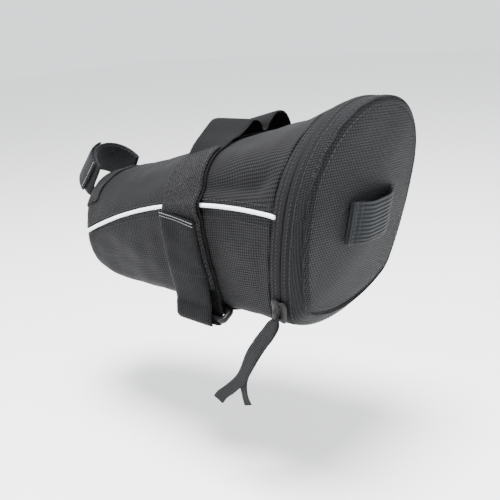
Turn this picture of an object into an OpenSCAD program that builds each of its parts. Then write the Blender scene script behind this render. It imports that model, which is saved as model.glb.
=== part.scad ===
// Wedge saddle bag: a two-panel padded shell with a zipped rear lid, a strap over each
// saddle rail and a strap round the seat post. +X is rearwards, +Z is up, and the origin
// lies between the two saddle rails, above the middle of the rail straps.

/* [Shell] */
// Length from the zip plane to the tip of the nose
bag_l = 160; // [150:1:170]
// Half of the width at the zip opening
rear_half_w = 47.2; // [45:0.2:49]
// Half of the width of the nose
nose_half_w = 27.6; // [25:0.2:30]
// Height of the opening above its lowest point
rear_top = 105.8; // [103:0.2:108]
// Height of the top of the nose
nose_top = 59.8; // [57:0.2:62]
// Height of the underside at the nose
nose_bottom = 3.4; // [0:0.2:6]
// Height of the piping at the opening
pipe_rear = 61.5; // [60:0.5:63]
// Height of the piping at the tip of the nose
pipe_nose = 28.2; // [26:0.2:31]
// How far the piping arches up between its two ends
pipe_arch = 11.9; // [9:0.1:13]
// Backward lean of the zip plane in degrees
lean = 11.9; // [9:0.1:14]

/* [Walls] */
// Thickness of the outer cloth
cloth_t = 1.2; // [1:0.1:1.4]
// Thickness of the foam
foam_t = 2.2; // [1.8:0.1:2.6]
// Thickness of the lining
lining_t = 0.5; // [0.4:0.1:0.6]

/* [Lid] */
// Depth of the lid from the zip to the seam of its rear panel
lid_depth = 11.2; // [10:0.2:13]
// How far the rear panel bulges
lid_bulge = 3.4; // [2:0.2:4]
// Width of the light loop's webbing
loop_w = 20; // [18:1:22]
// Length of the light loop
loop_l = 38; // [34:1:42]

/* [Straps] */
// Width of the rail straps
strap_w = 26; // [25:0.5:27]
// Thickness of the strap webbing
web_t = 1.2; // [1:0.1:1.3]
// Thickness of the loop tape
loop_tape_t = 0.9; // [0.7:0.1:1]
// Width of the seat post strap
post_strap_w = 22; // [20:1:24]
// Inner radius of the seat post loop as it hangs closed
post_r = 13.6; // [13:0.1:14.5]

/* [Zip] */
// Length of the slider
slider_l = 12; // [11:0.5:13]
// Width of the lace of the pull
lace_w = 6.5; // [6:0.5:7]

/* [Hidden] */

// Middle of the rail straps and height of the rails above the underside of the bag
rail_x = -62;
rail_z = 90;

// Rounding of the nose, as lengths along the bag: its sides, its top and its underside
nose_r_side = 15.9;
nose_r_top = 13.9;
nose_r_low = 35.8;
// Exponents of the upper outline and of the slope of the top
crown = 2.23;
top_sag = 0.78;
crown_pinch = 0.05;

// Zip outline below the piping: a long side arc, a corner and a shallow bottom arc
side_r = 143;
corner_r = 13;
corner_start = 48;
low_h0 = pipe_rear/cos(lean);
side_a = asin(corner_start/side_r);
corner_c = [rear_half_w - side_r + (side_r - corner_r)*cos(side_a), -(side_r - corner_r)*sin(side_a)];
corner_m = corner_c.y + low_h0;
bottom_r = (corner_c.x^2 + corner_m^2 - corner_r^2)/(2*(corner_m - corner_r));
bottom_a = atan2(corner_c.x, bottom_r - corner_m);
side_len = side_r*side_a;
corner_len = corner_r*(90 - bottom_a - side_a);
bottom_len = bottom_r*bottom_a;
low_len = side_len + corner_len + bottom_len;
side_s = side_len/low_len;
corner_s = (side_len + corner_len)/low_len;

// Mesh density of the soft shells
rows = 12;
half_cols = 15;

// Distances from the zip plane, along its normal
tape_far = 5.8;
tape_near = 2.2;
coil_near = 0.8;
hinge_gap = 0.3;
shell_t0 = 6.5/bag_l;
// Radial places of the zip tape and coil below the outer face
tape_r = [-1.2, -0.2];
coil_r = [-1.4, 0.2];
// The zip runs over the top and ends in both lower corners
zip_q = 0.145;
zip_cols = 44;

// Rest place of the slider down the side arc, in degrees
slider_a = 18.4;
slider_half_w = 4;
// Bail of the slider, above its top plate
bail_rise = 3.4;
bail_r = 0.8;

// Layers outside the shell at the straps
strap_gap = 0.3;
strap_out = strap_gap + web_t;
tape_in = strap_out + 0.1;
tape_out = tape_in + loop_tape_t;
tail_in = tape_out + 0.4;
tail_t = 1.4;
pipe_out = 1.5;
// The straps step over the piping
step_h = 2.1;
step_half = 8;
strap_taper = atan((rear_half_w - nose_half_w)/bag_l);

// Ring at the foot of each strap: the middle of its outer bar, and the bar across from it
bar_r = 1.6;
ring_l = 35;
bar_gap = 6.8;
ring_at = [rail_x - 1, -34.2, 3];
ring_tilt = 30;
// Radii at which the strap and its turned-up tail go round the bar
wrap_r = 1.8;
tail_r = wrap_r + web_t + 0.3;

// Seat post loop: where its foot touches the nose, and its lean
post_at = [-153.1, 0, 56.4];
post_lean = 41;
post_wall = 2.1;
post_foot = 1.5;
post_set = 3.2;
flap_t = 1.4;
flap_a = [94, 172];

// ---------- numbers and vectors

function mix(a, b, k) = a + (b - a)*k;
function unit(v) = v/norm(v);
function wrap(u) = u - floor(u);
function sgn_pow(v, e) = sign(v)*pow(abs(v), e);
function flat(lists) = [for (l = lists) each l];
function reversed(l) = [for (i = [len(l) - 1:-1:0]) l[i]];
// Faces of any length cut into triangles from their first corner
function triangles(faces) = [for (f = faces, k = [1:len(f) - 2]) [f[0], f[k], f[k + 1]]];

// ---------- shell surface

// Elliptical rounding of the nose: 1 along the bag, 0 at the tip
function nose_round(t, r) =
    let (d = bag_l*(1 - t))
    d < r ? sqrt(max(0, 1 - pow((r - d)/r, 2))) : 1;
function half_w(t) = mix(rear_half_w, nose_half_w, t)*nose_round(t, nose_r_side);
function pipe_z(t) = mix(pipe_rear, pipe_nose, t) + pipe_arch*4*t*(1 - t);
function top_z(t) = mix(rear_top, nose_top, pow(t, top_sag));
function up_h(t) = (top_z(t) - pipe_z(t))*nose_round(t, nose_r_top);
function low_h(t) = (pipe_z(t) - nose_bottom*pow(t, top_sag))*nose_round(t, nose_r_low);

// Lower outline of the zip opening in its own plane; s runs from the piping to the middle
function low_pt(s) =
    s < side_s ? let (a = side_a*s/side_s)
        [rear_half_w - side_r + side_r*cos(a), -side_r*sin(a)]
    : s < corner_s ? let (a = mix(side_a, 90 - bottom_a, (s - side_s)/(corner_s - side_s)))
        [corner_c.x + corner_r*cos(a), corner_c.y - corner_r*sin(a)]
    : let (a = mix(90 - bottom_a, 90, (s - corner_s)/(1 - corner_s)))
        [bottom_r*cos(a), bottom_r - low_h0 - bottom_r*sin(a)];

// Outline of a section as fractions of its half width and of its height from the piping.
// u runs 0 at the left piping, 0.25 at the top, 0.5 at the right piping, 0.75 underneath.
function upper_frac(u) =
    let (a = 360*u, g = pow(max(0, sin(a)), 2/crown))
    [-sgn_pow(cos(a), 2/crown)*(1 - crown_pinch*g*g), g];
function lower_frac(u) =
    let (p = low_pt(1 - abs(4*u - 3)))
    [(u < 0.75 ? 1 : -1)*p.x/rear_half_w, p.y/low_h0];
function frac(u) = let (w = wrap(u)) w <= 0.5 ? upper_frac(w) : lower_frac(w);

function body_h(t, u) = let (f = frac(u)) f.y*(f.y > 0 ? up_h(t) : low_h(t));
function body_pt(t, u) =
    let (h = body_h(t, u))
    [-bag_l*t + tan(lean)*h*(1 - t), half_w(t)*frac(u).x, pipe_z(t) + h];
function body_n(t, u) =
    let (e = 0.003)
    unit(cross(body_pt(t, u + e) - body_pt(t, u - e), body_pt(t + e, u) - body_pt(max(0, t - e), u)));
function body_off(t, u, off) = body_pt(t, u) + off*body_n(t, u);

// The point of the shell at a given x, found from the section's height there
function t_at(x, u) =
    let (k = tan(lean)*body_h(-x/bag_l, u))
    (k - x)/(bag_l + k);

// ---------- zip plane

function opening(u) = let (f = frac(u)) [rear_half_w*f.x, f.y*(f.y > 0 ? up_h(0) : low_h(0))/cos(lean)];
function opening_n(u) =
    let (e = 0.003, d = opening(u + e) - opening(u - e))
    unit([-d.y, d.x]);
// A place given by distance from the zip plane, side and height in that plane
function in_plane(d, y, h) =
    [d*cos(lean) + h*sin(lean), y, pipe_rear + h*cos(lean) - d*sin(lean)];
// How the lid's outline shrinks and lifts with distance from the zip
lid_narrow = 0.983;
lid_short = 0.916;
lid_lift = 5.5;
function lid_k(d) = pow(d/lid_depth, 2);
// In front of the zip plane the bands lie on the shell itself
pipe_slope = pipe_nose - pipe_rear + 4*pipe_arch;
function rim_t(u, d) = -d/(bag_l*cos(lean) + sin(lean)*(body_h(0, u) + pipe_slope));
function rim_pt(u, d, r) =
    d < 0 ? body_off(rim_t(u, d), u, r)
    : let (p = opening(u) + r*opening_n(u), k = lid_k(d))
      in_plane(d, p.x*mix(1, lid_narrow, k), p.y*mix(1, lid_short, k) + lid_lift*k);
// The rear panel's distance from the zip plane
lid_mid_h = -2.5;
lid_half_h = 50;
function panel_d(y, h) =
    lid_depth + lid_bulge*max(0, 1 - pow(y/rear_half_w, 2))*max(0, 1 - pow((h - lid_mid_h)/lid_half_h, 2));

// ---------- closed solids from grids of points

function volume6(pts, faces) =
    let (v = [for (f = faces) cross(pts[f[0]], pts[f[1]])*pts[f[2]]])
    v*[for (x = v) 1];
// Closed mesh, with its faces turned the right way round
module shell(pts, faces) {
    tri = triangles(faces);
    turned = volume6(pts, tri) > 0 ? [for (f = tri) reversed(f)] : tri;
    polyhedron(points = pts, faces = turned, convexity = 6);
}

// Wall between two grids of rows by columns; a tip closes the last row, round closes the columns
module wall(outer, inner, tip = [], round = false) {
    n = len(outer);
    m = len(outer[0]);
    last = round ? m - 1 : m - 2;
    inner0 = n*m;
    tip_o = 2*n*m;
    tip_i = tip_o + 1;
    function o(i, j) = i*m + j%m;
    function p(i, j) = inner0 + i*m + j%m;
    sides = [for (i = [0:n - 2], j = [0:last]) each [
        [o(i, j), o(i + 1, j), o(i + 1, j + 1), o(i, j + 1)],
        [p(i, j), p(i, j + 1), p(i + 1, j + 1), p(i + 1, j)]]];
    mouth = [for (j = [0:last]) [o(0, j), o(0, j + 1), p(0, j + 1), p(0, j)]];
    edges = round ? [] : [for (i = [0:n - 2]) each [
        [o(i, 0), p(i, 0), p(i + 1, 0), o(i + 1, 0)],
        [o(i, m - 1), o(i + 1, m - 1), p(i + 1, m - 1), p(i, m - 1)]]];
    end = len(tip) > 0
        ? [for (j = [0:last]) each [
            [o(n - 1, j), tip_o, o(n - 1, j + 1)],
            [p(n - 1, j), p(n - 1, j + 1), tip_i]]]
        : [for (j = [0:last]) [o(n - 1, j), p(n - 1, j), p(n - 1, j + 1), o(n - 1, j + 1)]];
    tip_edges = len(tip) > 0 && !round
        ? [[o(n - 1, 0), p(n - 1, 0), tip_i, tip_o], [o(n - 1, m - 1), tip_o, tip_i, p(n - 1, m - 1)]]
        : [];
    shell(concat(flat(outer), flat(inner), tip), concat(sides, mouth, edges, end, tip_edges));
}

// Solid through a row of rings; joined runs the last ring back to the first
module skin(rings, joined = false) {
    n = len(rings);
    m = len(rings[0]);
    last = joined ? n - 1 : n - 2;
    function q(i, j) = (i%n)*m + j%m;
    sides = [for (i = [0:last], j = [0:m - 1])
        [q(i, j), q(i + 1, j), q(i + 1, j + 1), q(i, j + 1)]];
    caps = joined ? [] : [[for (j = [0:m - 1]) j], [for (j = [m - 1:-1:0]) q(n - 1, j)]];
    shell(flat(rings), concat(sides, caps));
}

module in_place() { translate([-rail_x, 0, -rail_z]) children(); }

// ---------- shell pieces

function row_t(i) = 1 - (1 - shell_t0)*(1 - sin(90*i/rows));
function wall_grid(u0, u1, cols, off) =
    [for (i = [0:rows - 1]) [for (j = [0:cols]) body_off(row_t(i), mix(u0, u1, j/cols), -off)]];
function nose_tip(off) = [-bag_l + off, 0, pipe_nose];

module panel(u0, u1) {
    in_place() wall(wall_grid(u0, u1, half_cols, 0), wall_grid(u0, u1, half_cols, cloth_t),
        [nose_tip(0), nose_tip(cloth_t)]);
}
function ring_grid(off) = [for (r = wall_grid(0, 1, 2*half_cols, off)) [for (j = [0:2*half_cols - 1]) r[j]]];
module layer(off, thick) {
    in_place() wall(ring_grid(off), ring_grid(off + thick), [nose_tip(off), nose_tip(off + thick)], true);
}

module upper_panel() { color([0.16, 0.16, 0.17]) panel(0, 0.5); }
module lower_panel() { color([0.15, 0.15, 0.16]) panel(0.5, 1); }
module body_foam() { color([0.3, 0.3, 0.3]) layer(cloth_t + 0.1, foam_t); }
module body_lining() { color([0.2, 0.2, 0.21]) layer(cloth_t + foam_t + 0.2, lining_t); }

// Piping bead: a D section with its flat side on the seam
bead = [[0.1, -1.3], [0.8, -1.3], [pipe_out, -0.6], [pipe_out, 0.6], [0.8, 1.3], [0.1, 1.3]];
function bead_ring(p, out) = [for (b = bead) p + b.x*out + [0, 0, b.y]];
function bead_side(u) = [for (i = [0:rows - 1])
    let (n = body_n(row_t(i), u)) bead_ring(body_pt(row_t(i), u), unit([n.x, n.y, 0]))];
module piping() {
    color([0.85, 0.86, 0.88]) in_place()
        skin(concat(bead_side(0), [bead_ring(nose_tip(0), [-1, 0, 0])], reversed(bead_side(0.5))));
}

// Band along the zip outline from q0 to q1, with a rectangular section
function band_ring(q, d, r) =
    [rim_pt(q, d[0], r[0]), rim_pt(q, d[1], r[0]), rim_pt(q, d[1], r[1]), rim_pt(q, d[0], r[1])];
module band(q0, q1, cols, d, r) {
    in_place() skin([for (i = [0:cols]) band_ring(mix(q0, q1, i/cols), d, r)]);
}
module hoop(d, r) {
    in_place() skin([for (i = [0:zip_cols - 1]) band_ring(i/zip_cols, d, r)], true);
}

binding_r = [-cloth_t - foam_t - 1, -cloth_t - 0.2];
module body_binding() { color([0.1, 0.1, 0.1]) hoop([-tape_far, -slider_half_w - 0.4], binding_r); }
module zip_tape_body() { color([0.13, 0.13, 0.14]) band(-zip_q, 0.5 + zip_q, zip_cols, [-tape_far, -tape_near], tape_r); }
module zip_coil_body() { color([0.08, 0.08, 0.09]) band(-zip_q, 0.5 + zip_q, zip_cols, [-tape_near + 0.1, -coil_near], coil_r); }
module hinge_strip_body() {
    color([0.13, 0.13, 0.14]) band(0.511 + zip_q, 0.989 - zip_q, 12, [-tape_far, -hinge_gap], tape_r);
}
// A stop at each end of the zip, on the body's tape
stop_q = 0.008;
stop_d = [-tape_near - 0.2, -coil_near + 0.2];
stop_r = [-1.8, 0.6];
module zip_end_stops() {
    color([0.25, 0.25, 0.26]) {
        band(-zip_q - 0.001, -zip_q - stop_q, 1, stop_d, stop_r);
        band(0.5 + zip_q + 0.001, 0.5 + zip_q + stop_q, 1, stop_d, stop_r);
    }
}

// ---------- lid pieces

lid_edge = lid_depth - cloth_t - 0.1;
module lid_gusset() { color([0.16, 0.16, 0.17]) hoop([tape_far - 1.5, lid_edge], [-cloth_t, 0]); }
module lid_binding() { color([0.1, 0.1, 0.1]) hoop([lid_edge - 2.6, lid_edge - 0.3], [binding_r[0], -cloth_t - 0.7]); }
module zip_tape_lid() { color([0.13, 0.13, 0.14]) band(-zip_q, 0.5 + zip_q, zip_cols, [tape_near, tape_far - 1.6], tape_r); }
module zip_coil_lid() { color([0.08, 0.08, 0.09]) band(-zip_q, 0.5 + zip_q, zip_cols, [coil_near, tape_near - 0.1], coil_r); }
module hinge_strip_lid() {
    color([0.13, 0.13, 0.14]) band(0.511 + zip_q, 0.989 - zip_q, 12, [hinge_gap, tape_far - 1.6], tape_r);
}

// Disc that follows the bulge of the rear panel, at a depth below its outer face
lid_rings = [1, 0.9, 0.7, 0.4];
function lid_flat(u, r) =
    let (p = opening(u) + r*opening_n(u))
    [p.x*lid_narrow, p.y*lid_short + lid_lift];
function disc_pt(u, k, r, off) =
    let (p = [0, lid_mid_h] + k*(lid_flat(u, r) - [0, lid_mid_h]))
    in_plane(panel_d(p.x, p.y) - off, p.x, p.y);
function disc_grid(r, off) = [for (k = lid_rings) [for (j = [0:zip_cols - 1]) disc_pt(j/zip_cols, k, r, off)]];
function disc_tip(off) = in_plane(panel_d(0, lid_mid_h) - off, 0, lid_mid_h);
module disc(r, off, thick) {
    in_place() wall(disc_grid(r, off), disc_grid(r, off + thick), [disc_tip(off), disc_tip(off + thick)], true);
}
module lid_panel() { color([0.17, 0.18, 0.19]) disc(0, 0, cloth_t); }
inner_r = -cloth_t - foam_t - 2.2;
module lid_foam() { color([0.3, 0.3, 0.3]) disc(inner_r, cloth_t + 0.1, foam_t); }
module lid_lining() { color([0.2, 0.2, 0.21]) disc(inner_r, cloth_t + foam_t + 0.2, lining_t); }

// Light loop: webbing sewn down at both ends and standing off the panel between them
loop_h = -5;
loop_rise = 5.4;
loop_sewn = 3.5;
loop_steps = 14;
function loop_arch(y) =
    let (k = min(1, abs(y)/(loop_l/2 - loop_sewn)))
    0.4 + loop_rise*(1 - pow(k, 4));
function loop_ring(y) =
    let (a = loop_arch(y), lo = loop_h - loop_w/2, hi = loop_h + loop_w/2)
    [in_plane(panel_d(y, lo) + a, y, lo), in_plane(panel_d(y, hi) + a, y, hi),
     in_plane(panel_d(y, hi) + a + web_t, y, hi), in_plane(panel_d(y, lo) + a + web_t, y, lo)];
module light_loop() {
    color([0.2, 0.21, 0.22]) in_place()
        skin([for (i = [0:loop_steps]) loop_ring(mix(-loop_l/2, loop_l/2, i/loop_steps))]);
}

// ---------- rail straps

strap_x = [rail_x - strap_w/2, rail_x + strap_w/2];
function step_over(u) =
    let (k = min(1, abs((wrap(u + 0.25) - 0.25)*400)/step_half), m = min(1, abs((wrap(u) - 0.5)*400)/step_half))
    step_h*(1 - min(k, m)*min(k, m));
// A strap ring on the shell between two offsets, and one in the air beside it; skew turns
// it with the taper of the shell's side
function worn(u, x, off) =
    [for (e = [[0, 0], [1, 0], [1, 1], [0, 1]])
        let (t = t_at(x[e.x], u)) body_off(t, u, off[e.y] + step_over(u))];
function aired(y, z, tilt, x, off, skew = 0, rise = 0) =
    [for (e = [[0, 0], [1, 0], [1, 1], [0, 1]])
        let (dx = x[e.x] - ring_at.x)
        [x[e.x], y - sin(tilt)*off[e.y] - skew*dx, z + cos(tilt)*off[e.y] + rise*dx]];

// The strap comes down inside the ring's outer bar and turns up under it
side_skew = tan(strap_taper);
turn_tilts = [-50, -20, 10, 40, 70, 90];
turn_r = wrap_r + web_t;
function turn(x) = concat(
    [for (a = turn_tilts) aired(ring_at.y + turn_r*sin(a), ring_at.z - turn_r*cos(a), a, x, [0, web_t], side_skew)],
    [aired(-31.7, 8.6, 90, x, [0, web_t], side_skew)]);
function tail_foot(x) = [for (z = [0.4, 5, 9.5])
    aired(ring_at.y - tail_r + 0.12*(z - 0.4), ring_at.z + z, 90, x, [0, tail_t], side_skew)];

// Stations of the strap on the shell, from its foot up to the shoulder; every layer of the
// strap uses the same ones
foot_u = 0.868;
shoulder_u = 1.162;
worn_steps = 36;
left_top = 36;
right_top = 28;
function side_worn(off, x, from, to) =
    [for (i = [from:to]) worn(mix(foot_u, shoulder_u, i/worn_steps), x, off)];
function mirrored(rings) = [for (r = rings) [for (p = r) [p.x, -p.y, p.z]]];

// Undersides of the two arches over the rails: y, z, slope in degrees and rise to the rear
left_arch = [[-15, 88.2, 33, 0.08], [-8.6, 91.6, 28, 0.03], [-6.6, 92.3, 8, 0], [-3.2, 92.4, -8, 0], [-0.6, 91.2, -42, 0]];
right_arch = [[8.5, 90.4, 30, 0], [13, 92.9, 20, 0], [18, 94, 8, 0], [23, 94, -10, 0], [26.8, 92, -48, 0], [31.8, 85.6, -60, 0.04]];
function arch(list, x, off) = [for (a = list) aired(a[0], a[1], a[2], x, off, 0, a[3])];
sewn_u = [0.2525, 0.268];
module rail_strap() {
    off = [strap_gap, strap_out];
    color([0.12, 0.12, 0.13]) in_place() skin(concat(
        turn(strap_x),
        side_worn(off, strap_x, 0, left_top),
        arch(left_arch, strap_x, [0, web_t]),
        [for (u = sewn_u) worn(u, strap_x, off + [web_t, web_t])],
        arch(right_arch, strap_x, [0, web_t]),
        reversed(mirrored(side_worn(off, strap_x, 0, right_top))),
        reversed(mirrored(turn(strap_x)))));
}
// Patch under the sewn middle of the strap
module strap_anchor() {
    color([0.12, 0.12, 0.13]) in_place()
        skin([for (u = [0.215, 0.235, 0.255, 0.275, 0.295]) worn(u, strap_x, [strap_gap, strap_out - 0.1])]);
}

// Loop tape on the outer face of each side of the strap
tape_x = strap_x + [0.8, -0.8];
function tape_rings(top) = side_worn([tape_in, tape_out], tape_x, 1, top);
module loop_tape_left() { color([0.2, 0.2, 0.21]) in_place() skin(tape_rings(left_top)); }
module loop_tape_right() { color([0.2, 0.2, 0.21]) in_place() skin(mirrored(tape_rings(right_top - 1))); }

// Hook tail: the end of the strap, turned up round the ring's bar and lying on the loop tape
tail_x = strap_x + [-2, -2.5];
tail_low = 4;
tail_top = 14;
function tail_rings() = concat(tail_foot(tail_x),
    side_worn([tail_in, tail_in + tail_t], tail_x, tail_low, tail_top));
module hook_tail_left() { color([0.12, 0.12, 0.13]) in_place() skin(tail_rings()); }
module hook_tail_right() { color([0.12, 0.12, 0.13]) in_place() skin(mirrored(tail_rings())); }

// Ring: a moulded frame with two round bars, leaning out from under the shell
module ring_frame() {
    end_w = 2*bar_r;
    for (y = [0, bar_gap])
        translate([-ring_l/2, y, 0]) rotate([0, 90, 0]) cylinder(r = bar_r, h = ring_l, $fn = 32);
    for (x = [-ring_l/2, ring_l/2 - end_w])
        translate([x, 0, -bar_r]) cube([end_w, bar_gap, 2*bar_r]);
}
module ring_place() {
    translate(ring_at) rotate([0, 0, -strap_taper]) rotate([ring_tilt, 0, 0]) children();
}
module ring_left() { color([0.22, 0.22, 0.23]) in_place() ring_place() ring_frame(); }
module ring_right() { color([0.22, 0.22, 0.23]) in_place() mirror([0, 1, 0]) ring_place() ring_frame(); }

// Tab that holds the ring: webbing sewn flat under the shell
tab_u = [0.785, 0.795, 0.805, 0.815, 0.825];
tab_x = strap_x + [1, -1];
module ring_tab_left() { color([0.12, 0.12, 0.13]) in_place() skin([for (u = tab_u) worn(u, tab_x, [0.3, 1.6])]); }
module ring_tab_right() {
    color([0.12, 0.12, 0.13]) in_place() skin(mirrored([for (u = tab_u) worn(u, tab_x, [0.3, 1.6])]));
}

// ---------- seat post strap

patch_t = [0.865, 0.9, 0.93, 0.955, 0.975, 0.988];
patch_u = [for (i = [0:8]) mix(0.08, 0.42, i/8)];
function patch_grid(off) = [for (t = patch_t) [for (u = patch_u) body_off(t, u, off)]];
module nose_patch() { color([0.12, 0.12, 0.13]) in_place() wall(patch_grid(1.1), patch_grid(0.2)); }

module post_place() { translate(post_at) rotate([0, post_lean, 0]) children(); }
// D outline of the loop: round in front, flat where it is sewn to the nose
module loop_outline(r) {
    translate([-post_foot - post_set, 0]) {
        intersection() {
            circle(r, $fn = 96);
            translate([-2*r, -r]) square([2*r, 2*r]);
        }
        translate([-0.01, -r]) square([post_set + 0.01 - (post_r + post_wall - r), 2*r]);
    }
}
module post_strap() {
    color([0.13, 0.13, 0.14]) in_place() post_place()
        linear_extrude(post_strap_w, center = true) difference() {
            loop_outline(post_r + post_wall);
            loop_outline(post_r);
        }
}
// The strap's end, pressed on the outside of the loop
module post_strap_flap() {
    color([0.13, 0.13, 0.14]) in_place() post_place()
        translate([-post_foot - post_set, 0, 0])
            rotate([0, 0, 180 + flap_a[0] - 90]) translate([0, 0, -post_strap_w/2 + 0.5])
                rotate_extrude(angle = flap_a[1] - flap_a[0], $fn = 96)
                    translate([post_r + post_wall + 0.3, 0]) square([flap_t, post_strap_w - 1]);
}

// ---------- slider and pull

// The slider's own frame: X across the zip, Z up the side arc, -Y out of the bag
module slider_place() {
    translate([0, 0, pipe_rear]) rotate([0, lean, 0]) translate([0, side_r - rear_half_w, 0])
        rotate([slider_a, 0, 0]) translate([0, -side_r, 0]) children();
}
top_plate = 1;
bottom_plate = -2.2;
plate_t = 1.1;
module plate(y) {
    taper = slider_half_w - 1.4;
    translate([0, y, 0]) rotate([90, 0, 0]) linear_extrude(plate_t, center = true)
        polygon([[-taper, -slider_l/2], [taper, -slider_l/2], [slider_half_w, 0], [slider_half_w, slider_l/2 - 1],
                 [slider_half_w - 1, slider_l/2], [1 - slider_half_w, slider_l/2], [-slider_half_w, slider_l/2 - 1],
                 [-slider_half_w, 0]]);
}
module zip_slider() {
    post_w = 1.1;
    bail_y = -top_plate - plate_t/2 - bail_rise;
    color([0.1, 0.1, 0.11]) in_place() slider_place() {
        plate(-top_plate - plate_t/2);
        plate(-bottom_plate + plate_t/2);
        translate([-post_w/2, -top_plate - 0.2, slider_l/2 - 4])
            cube([post_w, top_plate - bottom_plate + 0.4, 2.6]);
        translate([0, bail_y, -3.4]) cylinder(r = bail_r, h = 7.2, $fn = 32);
        for (z = [-3.4, 2.2])
            translate([-bail_r, bail_y, z]) cube([2*bail_r, bail_rise, 1.6]);
    }
}

// Pull: a doubled lace round the bail that parts into two tails; x and z along its middle
pull_y = -44;
neck_y = -3.1;
neck_r = 0.7;
lace_t = 1.2;
pull_main = [[-10.2, 11.4], [-14, 7], [-19.5, 0.5], [-24.5, -6.5], [-27.8, -13.5]];
pull_tail_a = [[-26.6, -11.6], [-32, -20.5], [-38.5, -26.5], [-44, -31], [-47, -35]];
pull_tail_b = [[-27.4, -11.6], [-30.4, -18.6], [-32, -25], [-31.2, -30], [-29.2, -34]];
function lace_dir(p, i) = unit(p[min(i + 1, len(p) - 1)] - p[max(i - 1, 0)]);
function lace_ring(p, i, w, y) =
    let (d = lace_dir(p, i), s = [-d.y, d.x]*w/2)
    [[p[i].x - s.x, y[0], p[i].y - s.y], [p[i].x + s.x, y[0], p[i].y + s.y],
     [p[i].x + s.x, y[1], p[i].y + s.y], [p[i].x - s.x, y[1], p[i].y - s.y]];
module lace(p, w, y) { skin([for (i = [0:len(p) - 1]) lace_ring(p, i, w, y)]); }
// The lace goes through the bail and comes down on both sides of it, in the slider's frame
neck_path = [[0.4, neck_y], [-2.2, -4.4], [-5.4, -6.1]];
module neck_strand(x0, x1) {
    skin([for (p = neck_path)
        [[x0, p.y - neck_r, p.x], [x1, p.y - neck_r, p.x], [x1, p.y + neck_r, p.x], [x0, p.y + neck_r, p.x]]]);
}
module zip_pull() {
    color([0.2, 0.2, 0.21]) in_place() {
        slider_place() {
            translate([-2.5, neck_y, 0]) rotate([0, 90, 0]) cylinder(r = neck_r, h = 5, $fn = 32);
            neck_strand(-2.5, -1.3);
            neck_strand(1.3, 2.5);
        }
        lace(pull_main, lace_w, [pull_y - lace_t - 0.1, pull_y + lace_t + 0.1]);
        lace(pull_tail_a, lace_w - 1, [pull_y - lace_t, pull_y - 0.02]);
        lace(pull_tail_b, lace_w - 1.5, [pull_y + 0.02, pull_y + lace_t]);
    }
}

upper_panel();
lower_panel();
piping();
body_foam();
body_lining();
body_binding();
zip_tape_body();
zip_coil_body();
zip_end_stops();
hinge_strip_body();
strap_anchor();
rail_strap();
loop_tape_left();
loop_tape_right();
hook_tail_left();
hook_tail_right();
ring_left();
ring_right();
ring_tab_left();
ring_tab_right();
nose_patch();
post_strap();
post_strap_flap();
lid_gusset();
lid_panel();
lid_foam();
lid_lining();
lid_binding();
zip_tape_lid();
zip_coil_lid();
hinge_strip_lid();
light_loop();
zip_slider();
zip_pull();
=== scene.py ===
import bmesh
import bpy
import numpy as np
from mathutils import Matrix


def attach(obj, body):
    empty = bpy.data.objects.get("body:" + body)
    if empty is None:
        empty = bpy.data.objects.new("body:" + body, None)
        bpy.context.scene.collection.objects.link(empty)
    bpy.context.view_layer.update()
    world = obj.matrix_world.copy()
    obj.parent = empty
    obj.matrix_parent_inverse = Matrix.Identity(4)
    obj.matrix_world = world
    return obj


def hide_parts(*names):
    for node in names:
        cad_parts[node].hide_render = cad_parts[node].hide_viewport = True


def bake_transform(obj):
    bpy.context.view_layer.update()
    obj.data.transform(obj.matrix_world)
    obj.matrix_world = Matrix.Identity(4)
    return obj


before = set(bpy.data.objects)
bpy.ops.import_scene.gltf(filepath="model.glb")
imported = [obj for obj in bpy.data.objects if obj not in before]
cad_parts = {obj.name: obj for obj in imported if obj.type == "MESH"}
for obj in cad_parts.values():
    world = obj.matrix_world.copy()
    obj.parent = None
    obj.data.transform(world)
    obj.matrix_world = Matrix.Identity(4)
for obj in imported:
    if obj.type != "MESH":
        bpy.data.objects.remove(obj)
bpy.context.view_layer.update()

# The shell is described in millimetres from the zip plane; the frame's origin is at the rails.
SHIFT = np.array([62.0, 0.0, -90.0])
LEAN = np.radians(11.9)
BAG_L, REAR_W, NOSE_W = 160.0, 47.2, 27.6
REAR_TOP, NOSE_TOP, NOSE_BOTTOM = 105.8, 59.8, 3.4
PIPE_REAR, PIPE_NOSE, PIPE_ARCH = 61.5, 28.2, 11.9
CROWN, PINCH, SAG = 2.23, 0.05, 0.78
SIDE_R, CORNER_R, CORNER_START = 143.0, 13.0, 48.0
LID_DEPTH, LID_BULGE = 11.2, 3.4
SHELL_T0 = 6.5 / BAG_L
ZIP_Q = 0.145
RAIL_X = -62.0


# ---------- surface of the shell


def mix(a, b, k):
    return a + (b - a) * k


def smooth(a, b, x):
    k = np.clip((x - a) / (b - a), 0, 1)
    return k * k * (3 - 2 * k)


def unit(v):
    return v / np.maximum(np.linalg.norm(v, axis=-1, keepdims=True), 1e-12)


def nose_round(t, r):
    k = np.clip((r - BAG_L * (1 - t)) / r, 0, 1)
    return np.sqrt(1 - k * k)


def half_w(t):
    return mix(REAR_W, NOSE_W, t) * nose_round(t, 15.9)


def pipe_z(t):
    return mix(PIPE_REAR, PIPE_NOSE, t) + PIPE_ARCH * 4 * t * (1 - t)


def up_h(t):
    top = mix(REAR_TOP, NOSE_TOP, np.maximum(t, 0) ** SAG)
    return (top - pipe_z(t)) * nose_round(t, 13.9)


def low_h(t):
    return (pipe_z(t) - NOSE_BOTTOM * np.maximum(t, 0) ** SAG) * nose_round(t, 35.8)


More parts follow.
